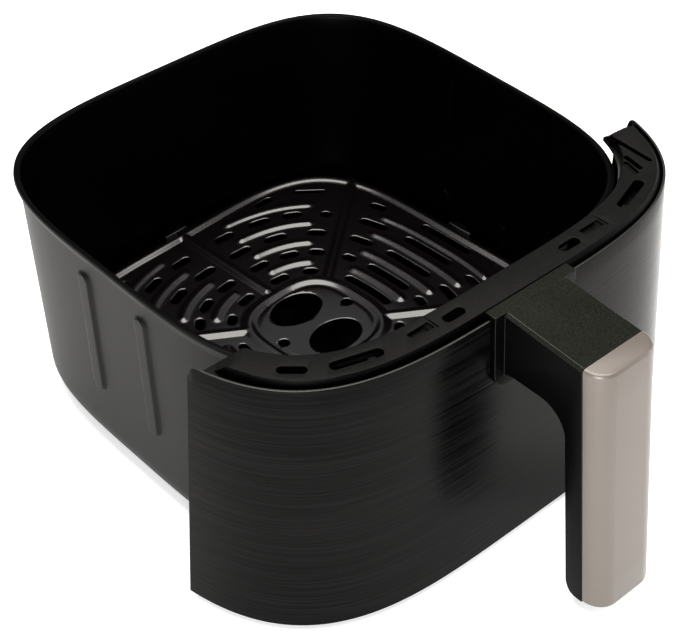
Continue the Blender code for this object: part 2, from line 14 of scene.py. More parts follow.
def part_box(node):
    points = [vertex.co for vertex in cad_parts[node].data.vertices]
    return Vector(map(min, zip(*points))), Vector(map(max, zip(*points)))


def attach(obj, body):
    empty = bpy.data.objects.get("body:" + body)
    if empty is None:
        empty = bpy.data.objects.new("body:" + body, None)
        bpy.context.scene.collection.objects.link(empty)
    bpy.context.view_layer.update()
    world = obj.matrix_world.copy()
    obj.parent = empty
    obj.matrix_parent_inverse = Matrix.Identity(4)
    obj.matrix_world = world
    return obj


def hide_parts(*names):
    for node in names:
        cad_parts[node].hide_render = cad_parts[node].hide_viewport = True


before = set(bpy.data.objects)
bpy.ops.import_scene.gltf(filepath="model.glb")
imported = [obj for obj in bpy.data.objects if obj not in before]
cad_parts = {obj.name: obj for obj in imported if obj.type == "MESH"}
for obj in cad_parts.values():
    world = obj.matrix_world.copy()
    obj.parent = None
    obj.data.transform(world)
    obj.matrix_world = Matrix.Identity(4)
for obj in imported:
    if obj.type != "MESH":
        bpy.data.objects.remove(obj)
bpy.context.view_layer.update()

pan_low, pan_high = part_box("pan")
middle = Vector(((pan_low[0] + pan_high[0]) / 2, (pan_low[1] + pan_high[1]) / 2, 0))
rim_z = pan_high[2]
print("rim height", round(rim_z, 4), "pan middle", [round(c, 4) for c in middle])

# %% [markdown]
# ## Camera
#
# A product picture is taken from a tripod a little above the front corner. The back direction
# of the camera comes from its azimuth and elevation, and the lens from its field of view.

# %% Camera
azimuth, elevation, roll = math.radians(-42.01), math.radians(40.39), math.radians(0.12)
back = Vector((math.sin(azimuth) * math.cos(elevation),
               -math.cos(azimuth) * math.cos(elevation), math.sin(elevation)))
right = Vector((math.cos(azimuth), math.sin(azimuth), 0))
up = back.cross(right)
turned_right = right * math.cos(roll) + up * math.sin(roll)
turned_up = up * math.cos(roll) - right * math.sin(roll)

distance, aside, below = 0.78608, 0.01271, 0.07203      # from the middle of the pan's rim
camera = bpy.data.objects.new("camera", bpy.data.cameras.new("camera"))
bpy.context.scene.collection.objects.link(camera)
camera.matrix_world = Matrix((turned_right, turned_up, back)).transposed().to_4x4()
rim_middle = middle + Vector((0, 0, rim_z))
camera.location = rim_middle + back * distance + right * aside - up * below
camera.data.sensor_width = 36
camera.data.lens = 88.88
bpy.context.scene.camera = camera
print("camera at", [round(c, 3) for c in camera.location])


# %% [markdown]
# ## Floor and light
#
# The drawer stands on a plain white floor that glows a little, so it stays white to its edges.
# Three soft boxes light the drawer: a large one overhead, one from the left for the pan's side,
# and a weaker one from the right for the grip.

# %% Floor
def stage_plane(name, size, centre, colour, glow):
    plane = bmesh.new()
    bmesh.ops.create_grid(plane, x_segments=1, y_segments=1, size=size / 2)
    bmesh.ops.translate(plane, verts=plane.verts, vec=centre)
    mesh = bpy.data.meshes.new(name)
    plane.to_mesh(mesh)
    plane.free()
    obj = bpy.data.objects.new(name, mesh)
    bpy.context.scene.collection.objects.link(obj)
    paint = bpy.data.materials.new(name)
    paint.use_nodes = True
    shader = paint.node_tree.nodes["Principled BSDF"]
    shader.inputs["Base Color"].default_value = (*colour, 1)
    shader.inputs["Roughness"].default_value = 0.9
    shader.inputs["Emission Color"].default_value = (1, 1, 1, 1)
    shader.inputs["Emission Strength"].default_value = glow
    mesh.materials.append(paint)
    print(name, size, "m wide")


just_below = -0.0004                  # clear of the pan's flat floor
stage_plane("floor", 8.0, (0, 0, just_below), (0.93, 0.93, 0.93), glow=0.25)


# %% Soft boxes
def soft_box(name, place, aim, size, power, tint=(1, 1, 1)):
    light = bpy.data.lights.new(name, "AREA")
    light.shape = "RECTANGLE"
    light.size, light.size_y = size
    light.energy = power
    light.color = tint
    obj = bpy.data.objects.new(name, light)
    bpy.context.scene.collection.objects.link(obj)
    obj.location = place
    obj.rotation_euler = (Vector(aim) - Vector(place)).to_track_quat("-Z", "Y").to_euler()
    print(name, power, "W")


warm_white = (1.0, 0.97, 0.92)
soft_box("overhead_box", (0.12, 0.12, 1.35), (0.12, 0.12, 0), (1.15, 1.15), 36, warm_white)
soft_box("left_box", (-1.15, -1.05, 0.5), (0, 0, 0.03), (0.6, 0.8), 34)
soft_box("right_box", (1.25, -0.85, 0.5), (0, 0, 0.03), (0.6, 0.9), 9)

world = bpy.data.worlds.new("studio")
bpy.context.scene.world = world
world.use_nodes = True
world.node_tree.nodes["Background"].inputs["Color"].default_value = (1, 1, 1, 1)
world.node_tree.nodes["Background"].inputs["Strength"].default_value = 0.5
bpy.context.scene.view_settings.view_transform = "Standard"

# %% [markdown]
# ## Shape helpers
#
# Every outline of this drawer is a rounded square whose sides bulge gently: a superellipse.
# One function gives its reach in any direction, so the same few numbers (half width, half
# depth, power) describe the rim, the plate, the collar and the front. Pieces are shaped in
# millimetres around the pan's middle and are moved into place once, at the end.

# %% Rounded squares
mm = 0.001


def reach(half_x, half_y, power, turn):
    """Distance from the middle to a rounded square's outline; turn in radians."""
    across, along = abs(math.cos(turn) / half_x), abs(math.sin(turn) / half_y)
    return (across ** power + along ** power) ** (-1 / power)


def on_outline(half_x, half_y, power, turn):
    r = reach(half_x, half_y, power, turn)
    return Vector((r * math.cos(turn), r * math.sin(turn), 0))


def lay_ring(verts, half_x, half_y, power, z):
    """Moves a ring of vertices straight in or out onto an outline, at a height."""
    for v in verts:
        v.co = on_outline(half_x, half_y, power, math.atan2(v.co.y, v.co.x)) + Vector((0, 0, z))


def grow(bm, edges):
    """Extrudes a chain of edges and returns the new vertices, edges and faces."""
    made = bmesh.ops.extrude_edge_only(bm, edges=edges)["geom"]
    verts = {g for g in made if isinstance(g, bmesh.types.BMVert)}
    far = [g for g in made if isinstance(g, bmesh.types.BMEdge) and set(g.verts) <= verts]
    faces = [g for g in made if isinstance(g, bmesh.types.BMFace)]
    return list(verts), far, faces


def extrude(bm, faces, vec):
    """Pulls faces out into a closed body and returns the moved vertices."""
    moved = [g for g in bmesh.ops.extrude_face_region(bm, geom=faces, use_keep_orig=True)["geom"]
             if isinstance(g, bmesh.types.BMVert)]
    bmesh.ops.translate(bm, verts=moved, vec=vec)
    return moved


def pulled(outline, vec):
    """A new mesh: a closed flat outline pulled along a vector."""
    bm = bmesh.new()
    spot = bm.verts.layers.int.new("spot")
    ring = bmesh.ops.create_circle(bm, segments=len(outline), radius=1)["verts"]
    for i, v in enumerate(ring):
        v[spot] = i
    for v in ring:
        v.co = outline[v[spot]]
    extrude(bm, bmesh.ops.contextual_create(bm, geom=list(bm.edges))["faces"], vec)
    return bm


def round_edges(bm, edges, offset, segments):
    """Rounds edges of a mesh that is still being shaped."""
    bmesh.ops.bevel(bm, geom=edges, offset=offset, segments=segments, profile=0.5,
                    affect="EDGES", material=-1)


# %% From a mesh in millimetres to a piece in place
def piece(bm, name, body, node=(), smooth=40, turn=0.0, shift=(0, 0, 0)):
    """Places the mesh around the pan's middle, makes the object and lets it ride on its body."""
    bmesh.ops.recalc_face_normals(bm, faces=bm.faces)
    place = Matrix.Translation(middle + Vector(shift) * mm)
    place = place @ Matrix.Rotation(turn, 4, "Z") @ Matrix.Scale(mm, 4)
    bmesh.ops.transform(bm, matrix=place, verts=bm.verts)
    mesh = bpy.data.meshes.new(name)
    bm.to_mesh(mesh)
    bm.free()
    mesh.shade_smooth()
    if smooth < 180:
        mesh.set_sharp_from_angle(angle=math.radians(smooth))
    obj = bpy.data.objects.new(name, mesh)
    bpy.context.scene.collection.objects.link(obj)
    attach(obj, body)
    if node:
        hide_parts(*((node,) if isinstance(node, str) else node))
    print(name, len(mesh.polygons), "faces")
    return obj


def bake(obj):
    """Applies the object's modifiers for good, so nothing is left to compute later."""
    seen = obj.evaluated_get(bpy.context.evaluated_depsgraph_get())
    shaped = bpy.data.meshes.new_from_object(seen)
    obj.modifiers.clear()
    obj.data = shaped


def soften_edges(obj, width, segments, angle):
    """Adds a modifier that rounds every edge sharper than an angle in degrees."""
    edge = obj.modifiers.new("soften", "BEVEL")
    edge.width, edge.segments, edge.limit_method = width * mm, segments, "ANGLE"
    edge.angle_limit = math.radians(angle)
    return edge


def carve(obj, cutters, soften=0.0):
    """Cuts closed shapes out of a piece and, if asked, rounds its sharp edges a little."""
    bmesh.ops.recalc_face_normals(cutters, faces=cutters.faces)
    place = Matrix.Translation(middle) @ Matrix.Scale(mm, 4)
    bmesh.ops.transform(cutters, matrix=place, verts=cutters.verts)
    mesh = bpy.data.meshes.new("cutters")
    cutters.to_mesh(mesh)
    cutters.free()
    tool = bpy.data.objects.new("cutters", mesh)
    bpy.context.scene.collection.objects.link(tool)
    cut = obj.modifiers.new("cut", "BOOLEAN")
    cut.operation, cut.solver, cut.object, cut.use_self = "DIFFERENCE", "EXACT", tool, True
    if soften:
        soften_edges(obj, soften, 2, 40)
    bake(obj)
    bpy.data.objects.remove(tool)
    print(obj.name, "carved:", len(obj.data.polygons), "faces")


def paint(obj, *finishes):
    """Gives a piece its finishes, one per material slot."""
    for slot, look in enumerate(finishes):
        if slot < len(obj.data.materials):
            obj.data.materials[slot] = look
        else:
            obj.data.materials.append(look)


# %% [markdown]
# ## Finishes
#
# A moulded or coated surface is never one even colour. Each finish starts from the same shader
# with three layers: a colour that drifts slightly, a roughness that drifts with it, and a fine
# bump. The patterns read Object coordinates, which are metres here, so their scale is real.

# %% Finish helper
def grey(value):
    return (value, value, value)


def finish(name, dark, light, rough, metal=0.0, grain=(1500, 0.10), brush=(1, 1, 1),
           spread=0.06, specular=0.5, mix=0.5):
    """A colour between dark and light, a roughness of rough +- spread, and a fine bump.

    grain is the fine pattern's scale and the bump's strength; mix is the fine pattern's
    share in the colour; brush stretches the fine pattern along an axis.
    """
    mat = bpy.data.materials.new(name)
    mat.use_nodes = True
    tree = mat.node_tree
    shader = tree.nodes["Principled BSDF"]
    shader.inputs["Metallic"].default_value = metal
    shader.inputs["Specular IOR Level"].default_value = specular
    spot = tree.nodes.new("ShaderNodeTexCoord")
    stretch = tree.nodes.new("ShaderNodeMapping")
    stretch.inputs["Scale"].default_value = brush
    tree.links.new(spot.outputs["Object"], stretch.inputs["Vector"])

    def noise(vector, scale, detail):
        node = tree.nodes.new("ShaderNodeTexNoise")
        node.inputs["Scale"].default_value = scale
        node.inputs["Detail"].default_value = detail
        tree.links.new(vector, node.inputs["Vector"])
        return node.outputs["Fac"]

    drift = noise(spot.outputs["Object"], 14, 3)
    fine = noise(stretch.outputs["Vector"], grain[0], 4)
    blend = tree.nodes.new("ShaderNodeMix")
    blend.inputs["Factor"].default_value = mix
    tree.links.new(drift, blend.inputs["A"])
    tree.links.new(fine, blend.inputs["B"])
    colour = tree.nodes.new("ShaderNodeValToRGB")
    for stop, position, shade in zip(colour.color_ramp.elements, (0.35, 0.65), (dark, light)):
        stop.position, stop.color = position, (*shade, 1)
    tree.links.new(blend.outputs["Result"], colour.inputs["Fac"])
    tree.links.new(colour.outputs["Color"], shader.inputs["Base Color"])
    shine = tree.nodes.new("ShaderNodeMapRange")
    shine.inputs["To Min"].default_value = rough - spread
    shine.inputs["To Max"].default_value = rough + spread
    tree.links.new(fine, shine.inputs["Value"])
    tree.links.new(shine.outputs["Result"], shader.inputs["Roughness"])
    bump = tree.nodes.new("ShaderNodeBump")
    bump.inputs["Strength"].default_value = grain[1]
    bump.inputs["Distance"].default_value = 0.0004
    tree.links.new(fine, bump.inputs["Height"])
    tree.links.new(bump.outputs["Normal"], shader.inputs["Normal"])
    return mat


# %% The drawer's finishes
pan_outside = finish("pan_outside", grey(0.0022), grey(0.0038), 0.44,
                     grain=(2600, 0.08), specular=0.09)
pan_inside = finish("pan_inside", grey(0.0001), grey(0.0003), 0.38,
                    grain=(2200, 0.06), specular=0.03)
plate_coat = finish("plate_coat", (0.0010, 0.0006, 0.0008), (0.0022, 0.0014, 0.0018), 0.17,
                    grain=(900, 0.012), spread=0.03, specular=0.6)
rubber = finish("silicone_black", grey(0.0003), grey(0.0010), 0.3,
                grain=(900, 0.05), specular=0.3)
matte_black = finish("matte_black", grey(0.0006), (0.0052, 0.0051, 0.0050), 0.50,
                     grain=(1300, 0.25), specular=0.05, mix=0.55)
handle_black = finish("handle_black", (0.0020, 0.0026, 0.0014), (0.0092, 0.0100, 0.0074), 0.60,
                      grain=(950, 0.5), specular=0.03, mix=0.6)
# A darker copy of the black plastic for faces that turn away from the light: painted shade.
painted_shade_satin = finish("painted_shade_satin", grey(0.0002), (0.0008, 0.0007, 0.0007), 0.36,
                      grain=(900, 0.08), specular=0.03)
gloss_black = finish("gloss_black", grey(0.0004), (0.0012, 0.0010, 0.0009), 0.22,
                     grain=(600, 0.03), specular=0.15)
brushed = finish("brushed_black", grey(0.0001), (0.0030, 0.0027, 0.0027), 0.21,
                 grain=(1.0, 0.24), brush=(14, 14, 1100), spread=0.08, specular=0.045, mix=0.9)
# A lighter, metal-like finish for the front's up-facing edge faces: a painted highlight.
painted_edge_highlight = finish("painted_edge_highlight", (0.016, 0.016, 0.015), (0.034, 0.034, 0.032), 0.35,
                   metal=0.5, grain=(900, 0.05), specular=0.2)
# A glossier copy of the black for the handle's rounded edges; its lighter colour is a painted
# highlight.
edge_highlight_black = finish("edge_highlight_black", (0.0008, 0.0008, 0.0007), (0.0030, 0.0030, 0.0027), 0.28,
                    grain=(900, 0.05), specular=0.3)
champagne = finish("champagne_satin", (0.098, 0.083, 0.072), (0.110, 0.093, 0.081), 0.36,
                   metal=0.3, grain=(3000, 0.04))
zinc = finish("zinc_plate", (0.40, 0.40, 0.41), (0.55, 0.55, 0.56), 0.38,
              metal=1.0, grain=(800, 0.10))
print(len(bpy.data.materials), "materials")

# %% [markdown]
# ## Pan
#
# The pan is deep-drawn from one sheet: a flat floor, a rounded corner, a slightly drafted wall
# and a rolled lip. It could be lofted from curves; here one ring of vertices is extruded along
# the sheet's profile, outside first, over the lip, and down the inside, which keeps the wall's
# true thickness. Four pressed ribs stiffen the side walls, so the ring is denser there.

# %% Pan profile
pan_half = Vector(((pan_high[0] - pan_low[0]) / 2, (pan_high[1] - pan_low[1]) / 2)) / mm
pan_top = rim_z / mm
pan_power, pan_sheet, pan_draft, pan_corner = 3.93, 1.2, 0.031, 17.0
lip_overhang = 1.8


def pan_wall(z, inside=0.0):
    """How far the wall stands inside the lip's outer edge at a height."""
    return lip_overhang + pan_draft * (pan_top - z) + inside


def pan_bend(inside):
    """Inset and height around the corner between wall and floor, from the floor up."""
    r = pan_corner - inside
    foot = pan_wall(pan_corner) + inside
    return [(foot + r - r * math.cos(t), pan_corner - r * math.sin(t))
            for t in (math.pi / 2 * k / 10 for k in range(10, 0, -1))]


wall_rows = [*range(18, 38, 4)] + [z / 2 for z in range(76, 108)]        # close together at a
wall_rows += [*range(56, 100, 4)] + [z / 2 for z in range(200, 234)]     # rib's two ends
wall_rows += [120]
outside = [(80, 0), (50, 0)] + pan_bend(0) + [(pan_wall(z), z) for z in wall_rows]
lip_low = pan_top - 3
lip = [(pan_wall(lip_low), lip_low), (0.7, lip_low), (0.25, lip_low + 0.5), (0, lip_low + 1.5),
       (0.15, pan_top - 0.5), (0.6, pan_top), (2.0, pan_top), (2.7, pan_top - 0.4),
       (3.05, pan_top - 1.5)]
inside = [(pan_wall(z, pan_sheet), z) for z in reversed(wall_rows)]
inside += pan_bend(pan_sheet)[::-1] + [(50, pan_sheet), (80, pan_sheet)]
print(len(outside), "rings outside,", len(inside), "inside")


# %% Pan
rib_low, rib_high, rib_aside = 46.5, 109.0, 21.0
rib_half_width, rib_flank, rib_height = 4.4, 0.9, 1.4


def rise(gap, flank, height):
    """A pressed shape's height: nothing outside it, full height one flank inside its edge."""
    t = min(max(-gap / flank, 0), 1)
    return height * t * t * (3 - 2 * t)


def rib_lift(y, z):
    """How far a pressed rib stands out of the side wall, at a place on it."""
    nearest_z = min(max(z, rib_low), rib_high)
    off = min(math.hypot(y - side, z - nearest_z) for side in (-rib_aside, rib_aside))
    return rise(off - rib_half_width, rib_flank, rib_height)


def near_a_rib(edge):
    x, y, _ = edge.verts[0].co
    return 5 < abs(math.degrees(math.atan2(y, abs(x)))) < 14


bm = bmesh.new()
bmesh.ops.create_circle(bm, segments=300, radius=100)
bmesh.ops.subdivide_edges(bm, edges=[e for e in bm.edges if near_a_rib(e)], cuts=2)
ring, ring_edges = list(bm.verts), list(bm.edges)
bmesh.ops.contextual_create(bm, geom=ring_edges)
first_inside = len(outside) + 6          # from the top of the lip inward
for i, (inset, z) in enumerate(outside + lip + inside):
    if i:
        ring, ring_edges, faces = grow(bm, ring_edges)
        for f in faces:
            f.material_index = 0 if i < first_inside else 1
    lay_ring(ring, pan_half.x - inset, pan_half.y - inset, pan_power, z)
for f in bmesh.ops.contextual_create(bm, geom=ring_edges)["faces"]:
    f.material_index = 1
for v in bm.verts:
    if 36 < v.co.z < 119 and abs(v.co.y) < 40:
        v.co.x += math.copysign(rib_lift(v.co.y, v.co.z), v.co.x)
pan = piece(bm, "pan_shell", "drawer", node="pan", smooth=180)
paint(pan, pan_outside, pan_inside)

# %% [markdown]
# ## Crisper plate
#
# The plate is stamped: slots are pierced first, then one press stroke raises the ring around
# the finger holes, six spokes, rows of short beads and the bead along the edge. A stamping is
# one sheet whose height changes from place to place, so it is modelled the same way: rings of
# vertices grow outward from the finger holes' hub and every vertex is lifted by the pressed
# shapes it lies in. Rings stand closer together where a bead or a row of slots runs.

# %% Plate sizes
plate_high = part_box("crisper_plate")[1]
plate_turn = math.radians(3.5)
plate_shift = (0, -0.8, 0)
plate_half = Vector((108.5, 105.7))
plate_power, row_power, row_squash = 4.2, 2.66, 1.02
plate_top = plate_high[2] / mm - 3.0          # the sheet's flat parts, below its highest bead
spokes_at = [math.radians(a) for a in (90, 35.5, -35.5, -90, 180 + 35.5, 180 - 35.5)]

# A row is its distance from the middle, then the slots' start and end in degrees.
slot_rows = [(38.6, (-23, 23)),
             (53.2, (-15, 15), (22.5, 31), (-31, -22.5)),
             (68.6, (-12.5, 12.5), (20, 31), (-31, -20)),
             (84.0, (-11, 11), (19, 30), (-30, -19)),
             (98.4, (-10, 10), (23, 29), (-29, -23))]
slot_quarters = [(38.6, (65, 81), (43, 55)),
                 (53.2, (71.5, 84), (53.5, 65), (40, 49.5)),
                 (68.6, (74, 85.5), (57, 67.5), (40.5, 49)),
                 (84.0, (75.5, 84), (61, 69.5), (49.5, 57), (39.5, 44))]
bead_at = (45.9, 61.2, 76.6, 91.4)
bead_rows = [(r, (-24.3, 24.3)) for r in bead_at]
bead_quarters = [(r, (45.5, 77.7)) for r in bead_at]


def around(rows, quarters):
    """Spans on both side sectors and, mirrored, on the four front and back ones."""
    spans = [(r, side + a, side + b) for r, *pairs in rows for a, b in pairs for side in (0, 180)]
    for r, *pairs in quarters:
        for a, b in pairs:
            spans += [(r, a, b), (r, 180 - b, 180 - a), (r, 180 + a, 180 + b), (r, 360 - b, 360 - a)]
    return [(r, math.radians(a), math.radians(b)) for r, a, b in spans]


slots = around(slot_rows, slot_quarters)
beads = around(bead_rows, bead_quarters)
print(len(slots), "slots,", len(beads), "beads")


# %% Pressed heights
def row_radius(x, y):
    """Which row a place lies on: rows are rounded squares too."""
    return (abs(x) ** row_power + abs(y / row_squash) ** row_power) ** (1 / row_power)


def span_gap(x, y, span, half_width):
    """Distance from a curved slot or bead, negative inside it."""
    r, start, end = span
    turn = math.atan2(y, x)
    centre = (start + end) / 2
    off = (turn - centre + math.pi) % (2 * math.pi) - math.pi
    half = (end - start) / 2 - half_width / r
    if abs(off) <= half:
        squeeze = reach(1, row_squash, row_power, turn)
        return abs(math.hypot(x, y) / squeeze - r) * min(squeeze, 1) - half_width
    tip = centre + math.copysign(half, off)
    far = reach(r, r * row_squash, row_power, tip)
    return math.hypot(x - far * math.cos(tip), y - far * math.sin(tip)) - half_width


def hump(gap, half_width, height):
    """A round-topped bead's height: a smooth hump across its whole width."""
    t = min(max(1 + gap / half_width, 0), 1)
    return height * (1 - t * t) ** 1.5


def edge_inset(x, y):
    """Distance in from the plate's outline along the ray through a place."""
    turn = math.atan2(y, x)
    return reach(plate_half.x, plate_half.y, plate_power, turn) - math.hypot(x, y)


hub_at, hub_half_width, hub_height = 30.0, 3.7, 1.75          # the ring round the finger holes
panel_edge, panel_flank, panel_height = 28.5, 4.0, 1.0        # the raised panel inside it
rim_at, rim_half_width, rim_height = 3.6, 3.5, 1.5            # the bead along the plate's edge
spoke_start, spoke_half_width, spoke_height = 33, 3.2, 1.3
bead_half_width, bead_height = 3.0, 0.95


def pressed(x, y):
    """Height of the plate's top face at a place, above its flat parts."""
    hub = (abs(x) ** 3 + abs(y) ** 3) ** (1 / 3)
    high = max(rise(hub - panel_edge, panel_flank, panel_height),
               hump(abs(hub - hub_at) - hub_half_width, hub_half_width, hub_height))
    off_rim = abs(edge_inset(x, y) - rim_at)
    high = max(high, hump(off_rim - rim_half_width, rim_half_width, rim_height))
    for turn in spokes_at:
        along = x * math.cos(turn) + y * math.sin(turn)
        across = abs(y * math.cos(turn) - x * math.sin(turn))
        if along > spoke_start - 1 and across < spoke_half_width + 0.1:
            off = max(across - spoke_half_width, spoke_start - along)
            high = max(high, hump(off, spoke_half_width, spoke_height))
    if 40 < math.hypot(x, y) < 108:
        for span in beads:
            if abs(row_radius(x, y) - span[0]) < bead_half_width + 1:
                off = span_gap(x, y, span, bead_half_width)
                high = max(high, hump(off, bead_half_width, bead_height))
    return high


slot_half_width = 2.4
corner_slot = Vector((77.2, 82.7))
corner_cos, corner_sin = 0.743, 0.669           # the corner slots lie at 42 degrees
finger_half_x, finger_half_y, finger_off = 15.5, 10.7, 14.2


def round_slot_gap(along, across, half_straight, half_width):
    """Distance to a straight slot with round ends, negative inside it."""
    return math.hypot(max(abs(along) - half_straight, 0), across) - half_width


def pierced(x, y):
    """Distance to the nearest slot or hole, negative inside one."""
    row = row_radius(x, y)
    gaps = [span_gap(x, y, span, slot_half_width) for span in slots if abs(row - span[0]) < 5]
    gaps.append(round_slot_gap(abs(x) - 52, abs(y) - 93.4, 3.8, 2.2))
    gaps.append(math.hypot(abs(x) - 22.4, y) - 3.1)
    from_x, from_y = abs(x) - corner_slot.x, abs(y) - corner_slot.y
    gaps.append(round_slot_gap(from_x * corner_cos - from_y * corner_sin,
                               from_x * corner_sin + from_y * corner_cos, 8, 1.5))
    dy = abs(y) - finger_off
    size = math.hypot(x / finger_half_x, dy / finger_half_y)
    slope = math.hypot(x / finger_half_x ** 2, dy / finger_half_y ** 2)
    gaps.append((size - 1) * size / max(slope, 0.01))
    return min(gaps)


# %% Plate sheet
row_steps = [2.0 + 1.3 * k for k in range(26)]
for centre in (38.6, 45.9, 53.2, 61.2, 68.6, 76.6, 84.0, 91.4):
    row_steps += [centre + d for d in (-3.2, -2.4, -1.6, -0.8, 0, 0.8, 1.6, 2.4, 3.2)]
row_steps.sort()
blend_steps = 14
edge_steps = [6.8, 5.8, 4.8, 3.8, 2.8, 1.9, 1.1, 0.4, 0]


def plate_ring(turn, step):
    """Distance from the middle of one ring: rows first, then a blend, then the plate's edge."""
    if step < len(row_steps):
        r = row_steps[step]
        return reach(r, r * row_squash, row_power, turn)
    blend = min((step - len(row_steps) + 1) / blend_steps, 1)
    inset = edge_steps[max(step - len(row_steps) - blend_steps + 1, 0)]
    outer = reach(plate_half.x - inset, plate_half.y - inset, plate_power, turn)
    if blend < 1:
        inner = reach(row_steps[-1], row_steps[-1] * row_squash, row_power, turn)
        return inner + (outer - inner) * blend
    return outer


def near_a_spoke(edge):
    """Whether an edge's middle lies within 2.6 degrees of a spoke."""
    turn = math.atan2(*(edge.verts[0].co + edge.verts[1].co).yx)
    off = (abs((turn - s + math.pi) % (2 * math.pi) - math.pi) for s in spokes_at)
    return any(o < math.radians(2.6) for o in off)


bm = bmesh.new()
bmesh.ops.create_circle(bm, segments=400, radius=1.0)
bmesh.ops.subdivide_edges(bm, edges=[e for e in bm.edges if near_a_spoke(e)], cuts=1)
ring, ring_edges = list(bm.verts), list(bm.edges)
bmesh.ops.contextual_create(bm, geom=ring_edges)
for step in range(len(row_steps) + blend_steps + len(edge_steps) - 1):
    ring, ring_edges, _ = grow(bm, ring_edges)
    for v in ring:
        turn = math.atan2(v.co.y, v.co.x)
        v.co = Vector((math.cos(turn), math.sin(turn), 0)) * plate_ring(turn, step)
print(len(bm.verts), "vertices")

# %% [markdown]
# Slots are pierced by pulling the nearest vertices onto each slot's outline and taking out what
# lies inside. It gives a cleaner edge than cutting with a solid, because the rings already run
# along the slots. The outline's slope is measured by asking a hair to the side. Each slot's edge
# is then turned down a little, as a punch leaves it.

# %% Pierce, press and turn down the edge
gap = {v: pierced(v.co.x, v.co.y) for v in bm.verts}
for edge in list(bm.edges):
    a, b = edge.verts
    if gap[a] * gap[b] < 0:
        v = a if abs(gap[a]) < abs(gap[b]) else b
        hair = 0.02
        slope = Vector((pierced(v.co.x + hair, v.co.y) - gap[v],
                        pierced(v.co.x, v.co.y + hair) - gap[v], 0)) / hair
        v.co -= slope * gap[v] / max(slope.length_squared, 0.25)
        gap[v] = 0.0
for face in list(bm.faces):
    inside = [gap[v] < 0 for v in face.verts]
    on = [v for v in face.verts if gap[v] == 0]
    crossed = any(inside) and any(gap[v] > 0 for v in face.verts)
    if crossed and len(on) == 2 and len(face.verts) == 4:
        bmesh.utils.face_split(face, *on)
waste = [f for f in bm.faces if sum(gap[v] for v in f.verts) < 0 or
         (all(gap[v] <= 0 for v in f.verts) and pierced(*f.calc_center_median().xy) < 0)]
bmesh.ops.delete(bm, geom=waste, context="FACES")
bmesh.ops.delete(bm, geom=[v for v in bm.verts if not v.link_faces], context="VERTS")
lip_width, lip_drop = 0.22, 0.16
slot_edges = [e for e in bm.edges if e.is_boundary and all(gap.get(v, 9) < 0.3 for v in e.verts)]
rolled, _, _ = grow(bm, slot_edges)
for v in rolled:
    hair = 0.05
    slope = Vector((pierced(v.co.x + hair, v.co.y) - pierced(v.co.x - hair, v.co.y),
                    pierced(v.co.x, v.co.y + hair) - pierced(v.co.x, v.co.y - hair), 0))
    if slope.length > 0.01:
        v.co -= slope.normalized() * lip_width
rolled = set(rolled)
for v in bm.verts:
    v.co.z = pressed(v.co.x, v.co.y) - (lip_drop if v in rolled else 0)

# %% [markdown]
# The plate's edge is turned down all round, and four legs run on from it at the middle of each
# side. The sheet gets its thickness last.

# %% Edge, legs and thickness
rim = [e for e in bm.edges
       if e.is_boundary and all(edge_inset(v.co.x, v.co.y) < 0.05 for v in e.verts)]
for drop in (0.6, 1.6, 6.0):
    ring, rim, _ = grow(bm, rim)
    for v in ring:
        v.co.z = -drop
leg_half_width, leg_length = 7, 16
legs = [e for e in rim
        if min(abs(c) for c in ((e.verts[0].co + e.verts[1].co) / 2).xy) < leg_half_width]
leg_ends, _, _ = grow(bm, legs)
bmesh.ops.translate(bm, verts=leg_ends, vec=(0, 0, -leg_length))
bmesh.ops.translate(bm, verts=bm.verts, vec=(0, 0, plate_top))
plate = piece(bm, "plate_sheet", "plate", node="crisper_plate", smooth=180,
              turn=plate_turn, shift=plate_shift)
sheet = plate.modifiers.new("sheet", "SOLIDIFY")
sheet.thickness, sheet.offset = 1.0 * mm, -1
bake(plate)
plate.data.set_sharp_from_angle(angle=math.radians(50))
paint(plate, plate_coat)
print("plate", len(plate.data.polygons), "faces")

# %% [markdown]
# ## Silicone feet
#
# Each leg wears a pushed-on silicone foot with a half-round front that keeps the plate off the
# pan's wall. One flattened circle is extruded down the leg, and its rims are rounded.

# %% Feet
def foot(name, turn):
    side = 0 if abs(math.cos(turn)) > 0.5 else 1
    edge = plate_half[side]
    deep = (4.4, 3.3)[side]
    levels = ((31.7, 0.4, deep), (15.5, 0.4, deep), (9.5, 0.4, min(deep, 1.8)),
              (5.6, -3.0, -1.0), (3.6, -4.4, -3.4))          # height, back and front
    bm = bmesh.new()
    shape = bm.verts.layers.float_vector.new("shape")
    ring = bmesh.ops.create_circle(bm, segments=40, radius=1)["verts"]
    edges = list(bm.edges)
    bmesh.ops.contextual_create(bm, geom=edges)
    cap = list(bm.edges)
    for v in ring:
        v[shape] = v.co
    for i, (z, back_off, out) in enumerate(levels):
        if i:
            ring, edges, _ = grow(bm, edges)
        for v in ring:
            x = v[shape].x
            off = back_off + (out - back_off) * x if x > 0 else back_off + 0.8 * x
            v.co = Vector((edge + off, 8 * v[shape].y, z))
    bmesh.ops.contextual_create(bm, geom=edges)
    round_edges(bm, cap, 1.1, 4)
    bmesh.ops.rotate(bm, verts=bm.verts, matrix=Matrix.Rotation(turn, 3, "Z"))
    cap_piece = piece(bm, name + "_cap", "plate", node=name, turn=plate_turn, shift=plate_shift)
    paint(cap_piece, rubber)


for k, side in enumerate(("right", "back", "left", "front")):
    foot("bumper_" + side, k * math.pi / 2)

# %% [markdown]
# ## Collar
#
# Collar, front and handle flange all follow the same half of a rounded square. Collar and front are
# swept:
# a closed section is carried from the left end round to the right one and capped. The section
# may change on the way, which is how the collar's sloping ends are made.

# %% Sweeping along the front
def end_turn(a, b, power, y):
    """Angle below +X at which a rounded square reaches -y."""
    return math.atan2(y, a * (1 - (y / b) ** power) ** (1 / power))


def front_spot(a, b, power, end, u):
    """Place at u = 0..1 along the front half, from the left end to the right one."""
    e = end_turn(a, b, power, end)
    return on_outline(a, b, power, -math.pi + e + (math.pi - 2 * e) * u)


